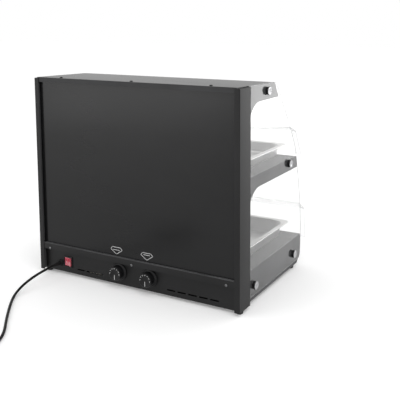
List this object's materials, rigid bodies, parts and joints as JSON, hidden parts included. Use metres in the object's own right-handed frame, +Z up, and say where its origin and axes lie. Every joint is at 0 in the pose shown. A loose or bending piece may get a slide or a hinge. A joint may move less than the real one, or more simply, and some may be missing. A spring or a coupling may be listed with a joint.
{
  "type": "heated display case",
  "caption": "Counter-top heated food display case with warm decks of pans behind clear hinged flaps, a flat back with heat knobs and a rocker switch, and a mains lead.",
  "frame": {"origin": "centre of the case's outline on the surface it stands on", "axes": "+Z up, -Y towards the side with the flaps, +X across the case"},
  "size_m": [0.608, 0.8961, 0.531],
  "materials": {
    "black_plastic": "moulded",
    "black_rubber": "matt",
    "bright_chrome": "polished",
    "clear_acrylic": "clear, polished edges",
    "element_steel": "heat tinted",
    "gloss_black": "smooth semi-gloss enamel",
    "powder_black": "fine satin powder coat",
    "red_rocker": "clear red",
    "stainless": "brushed",
    "white_moulding": "moulded",
    "wire_sleeve": "flexible",
    "zinc_steel": "zinc plated"
  },
  "bodies": {
    "case": {"left_post": "powder_black", "right_post": "powder_black", "left_side_plate": "powder_black", "right_side_plate": "powder_black", "left_side_glass": "clear_acrylic", "right_side_glass": "clear_acrylic", "left_side_nuts": "bright_chrome", "right_side_nuts": "bright_chrome", "left_side_studs": "zinc_steel", "right_side_studs": "zinc_steel", "roof_cover": "powder_black", "roof_screws": "powder_black", "ceiling_panel": "powder_black", "back_panel": "gloss_black", "rear_sill": "powder_black", "sill_screws": "zinc_steel", "control_panel": "powder_black", "base_deck": "powder_black", "base_front": "powder_black", "base_bottom": "powder_black", "mid_shelf": "powder_black", "shelf_underside": "powder_black", "base_heater": "element_steel", "base_heater_clips": "zinc_steel", "shelf_heater": "element_steel", "shelf_heater_clips": "zinc_steel", "upper_hinge_forks": "zinc_steel", "upper_hinge_pins": "zinc_steel", "lower_hinge_forks": "zinc_steel", "lower_hinge_pins": "zinc_steel", "rubber_feet": "black_rubber", "left_thermostat": "black_plastic", "right_thermostat": "black_plastic", "switch_housing": "black_plastic", "terminal_block": "white_moulding", "wire_harness": "wire_sleeve", "strain_relief": "black_plastic", "cord": "black_rubber", "cord_coil": "black_rubber", "plug": "black_plastic"},
    "upper_flap": {"upper_flap": "clear_acrylic", "upper_hinge_clamps": "bright_chrome"},
    "lower_flap": {"lower_flap": "clear_acrylic", "lower_hinge_clamps": "bright_chrome"},
    "rocker": {"switch_rocker": "red_rocker"},
    "left_knob": {"left_knob": "black_plastic", "left_thermostat_shaft": "zinc_steel"},
    "right_knob": {"right_knob": "black_plastic", "right_thermostat_shaft": "zinc_steel"},
    "lower_left_pan": {"lower_left_pan": "stainless"},
    "lower_right_pan": {"lower_right_pan": "stainless"},
    "upper_left_pan": {"upper_left_pan": "stainless"},
    "upper_right_pan": {"upper_right_pan": "stainless"}
  },
  "joints": [
    {"name": "upper_flap_hinge", "type": "hinge", "parent": "case", "child": "upper_flap", "pos_m": [0, -0.00966, 0.5102], "axis": [-1, 0, 0], "range_deg": [0, 78]},
    {"name": "lower_flap_hinge", "type": "hinge", "parent": "case", "child": "lower_flap", "pos_m": [0, -0.1453, 0.2745], "axis": [-1, 0, 0], "range_deg": [0, 78]},
    {"name": "power_rocker", "type": "hinge", "parent": "case", "child": "rocker", "pos_m": [0.2135, 0.1963, 0.038], "axis": [0, 0, 1], "range_deg": [0, 18]},
    {"name": "left_knob_turn", "type": "hinge", "parent": "case", "child": "left_knob", "pos_m": [-0.046, 0.1998, 0.043], "axis": [0, -1, 0], "range_deg": [0, 270]},
    {"name": "right_knob_turn", "type": "hinge", "parent": "case", "child": "right_knob", "pos_m": [0.046, 0.1998, 0.043], "axis": [0, -1, 0], "range_deg": [0, 270]},
    {"name": "lower_left_pan_lift", "type": "slide", "parent": "case", "child": "lower_left_pan", "axis": [0, 0, 1], "range_m": [0, 0.06]},
    {"name": "lower_right_pan_lift", "type": "slide", "parent": "case", "child": "lower_right_pan", "axis": [0, 0, 1], "range_m": [0, 0.06]},
    {"name": "upper_left_pan_lift", "type": "slide", "parent": "case", "child": "upper_left_pan", "axis": [0, 0, 1], "range_m": [0, 0.025]},
    {"name": "upper_right_pan_lift", "type": "slide", "parent": "case", "child": "upper_right_pan", "axis": [0, 0, 1], "range_m": [0, 0.025]}
  ]
}
